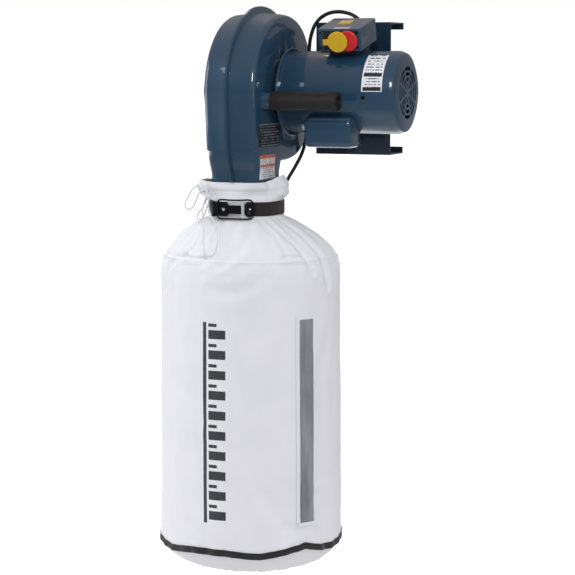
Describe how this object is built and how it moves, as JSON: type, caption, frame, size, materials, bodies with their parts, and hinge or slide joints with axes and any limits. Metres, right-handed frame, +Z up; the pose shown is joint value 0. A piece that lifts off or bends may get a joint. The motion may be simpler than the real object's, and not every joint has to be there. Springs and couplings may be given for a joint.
{
  "type": "wall-mounted dust collector",
  "caption": "Wall-hung workshop dust collector: motor-driven scroll fan on a bracket, safety switch box, lifting handle, and a long cloth filter bag belted to its round outlet.",
  "frame": {"origin": "middle of the back face of the wall bracket's upper lip, the face that lies on the wall", "axes": "+Z up, +Y into the wall, +X along the motor's axis from the fan housing to the motor's fan cover"},
  "size_m": [0.5, 0.434, 1.141],
  "materials": {
    "paint": "glossy dark blue-teal enamel",
    "dark_paint": "dark blue-teal enamel",
    "steel": "plain machined steel",
    "zinc": "zinc plated",
    "cast_aluminium": "as cast, machined at the seats",
    "laminations": "stacked electrical steel",
    "copper": "enamelled copper wire, varnished",
    "black_plastic": "black moulded plastic",
    "rubber": "dark grey grip rubber",
    "yellow_plastic": "yellow moulded plastic",
    "red_plastic": "red moulded plastic",
    "green_plastic": "green moulded plastic",
    "bag_cloth": "white felted filter cloth",
    "binding_tape": "black sewn tape",
    "window_film": "grey see-through film",
    "webbing": "black woven webbing",
    "black_steel": "black plated steel",
    "cord_sheath": "black cable sheath"
  },
  "bodies": {
    "machine": {"housing_motor_half": "paint", "housing_inlet_half": "paint", "inlet_collar": "paint", "front_end_bell": "paint", "rear_end_bell": "cast_aluminium", "front_bearing": "steel", "rear_bearing": "steel", "motor_shell": "paint", "stator_core": "laminations", "front_winding": "copper", "rear_winding": "copper", "tie_bolt_1": "zinc", "tie_bolt_2": "zinc", "tie_bolt_3": "zinc", "tie_bolt_4": "zinc", "housing_bolt_ring": "zinc", "fan_cover": "paint", "fan_cover_screw_1": "black_steel", "fan_cover_screw_2": "black_steel", "fan_cover_screw_3": "black_steel", "capacitor_cover": "paint", "start_capacitor": "black_plastic", "handle_bar": "paint", "handle_grip": "rubber", "wall_bracket": "dark_paint", "motor_foot": "dark_paint", "foot_bolt_1": "zinc", "foot_bolt_2": "zinc", "foot_bolt_3": "zinc", "foot_bolt_4": "zinc", "switch_box_cover": "paint", "switch_box_tray": "paint", "switch_body": "black_plastic", "flap_pin": "steel", "cord_gland": "black_plastic", "switch_box_pedestal": "black_plastic", "bag_top": "bag_cloth", "bag_body": "bag_cloth", "bag_window": "window_film", "bag_binding": "binding_tape", "belt_strap": "webbing", "buckle_base": "black_steel", "buckle_catch": "black_steel", "buckle_pin": "black_steel", "drawstring": "bag_cloth", "power_cord": "cord_sheath", "cord_hank": "cord_sheath", "cord_tie": "black_plastic", "cord_tail": "cord_sheath", "plug": "black_plastic"},
    "rotor": {"impeller": "steel", "impeller_bolt": "zinc", "motor_shaft": "steel", "rotor_core": "laminations", "cooling_fan": "black_plastic"},
    "flap": {"switch_flap": "yellow_plastic"},
    "stop": {"stop_button": "red_plastic"},
    "start": {"start_button": "green_plastic"},
    "lever": {"buckle_lever": "black_steel"},
    "bail": {"buckle_bail": "black_steel"}
  },
  "joints": [
    {"name": "rotor_spin", "type": "hinge", "parent": "machine", "child": "rotor", "pos_m": [-0.11, -0.178, -0.134], "axis": [1, 0, 0], "continuous": true},
    {"name": "flap_hinge", "type": "hinge", "parent": "machine", "child": "flap", "pos_m": [0.003, -0.25703, -0.03456], "axis": [0, -0.2419, 0.9703], "range_deg": [-110, 0]},
    {"name": "stop_press", "type": "slide", "parent": "machine", "child": "stop", "axis": [0, 0.9703, 0.2419], "range_m": [0, 0.004], "stiffness_N_per_m": 400},
    {"name": "start_press", "type": "slide", "parent": "machine", "child": "start", "axis": [0, 0.9703, 0.2419], "range_m": [0, 0.003], "stiffness_N_per_m": 400},
    {"name": "lever_hinge", "type": "hinge", "parent": "machine", "child": "lever", "pos_m": [-0.199, -0.3383, -0.363], "axis": [0, 0, 1], "range_deg": [-105, 0]},
    {"name": "bail_hinge", "type": "hinge", "parent": "lever", "child": "bail", "pos_m": [-0.1905, -0.3418, -0.363], "axis": [0, 0, 1], "range_deg": [-50, 0]}
  ]
}
